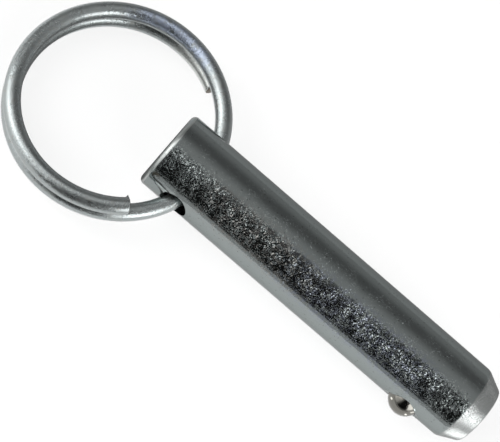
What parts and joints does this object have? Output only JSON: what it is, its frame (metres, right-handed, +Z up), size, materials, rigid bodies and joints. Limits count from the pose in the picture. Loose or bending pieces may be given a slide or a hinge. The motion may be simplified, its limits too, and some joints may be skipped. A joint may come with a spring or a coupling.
{
  "type": "hitch pin",
  "caption": "Straight steel hitch pin with a sprung locking ball near its nose and a split ring through a cross hole at its head end.",
  "frame": {"origin": "on the shank's axis where the grip begins, at the side of the split ring", "axes": "+X along the shank to its nose; +Z up from the flat surface that the pin lies on; the ball and the seen mouth of the cross hole face -Y"},
  "size_m": [0.0872, 0.0344, 0.0126],
  "materials": {
    "plated_shank": "zinc plated, finely grained",
    "plated_wire": "bright zinc plated",
    "ball_steel": "polished",
    "spring_wire": "drawn wire"
  },
  "bodies": {
    "pin": {"shank": "plated_shank", "detent_spring": "spring_wire"},
    "ring": {"split_ring": "plated_wire"},
    "ball": {"detent_ball": "ball_steel"}
  },
  "joints": [
    {"name": "ring_swing", "type": "hinge", "parent": "pin", "child": "ring", "pos_m": [-0.0032, 0, 0], "axis": [0, 1, 0], "range_deg": [-155, 168.5]},
    {"name": "ball_press", "type": "slide", "parent": "pin", "child": "ball", "axis": [0, 0.9781, 0.2079], "range_m": [0, 0.0017], "stiffness_N_per_m": 2240, "deforming": ["detent_spring"]}
  ]
}
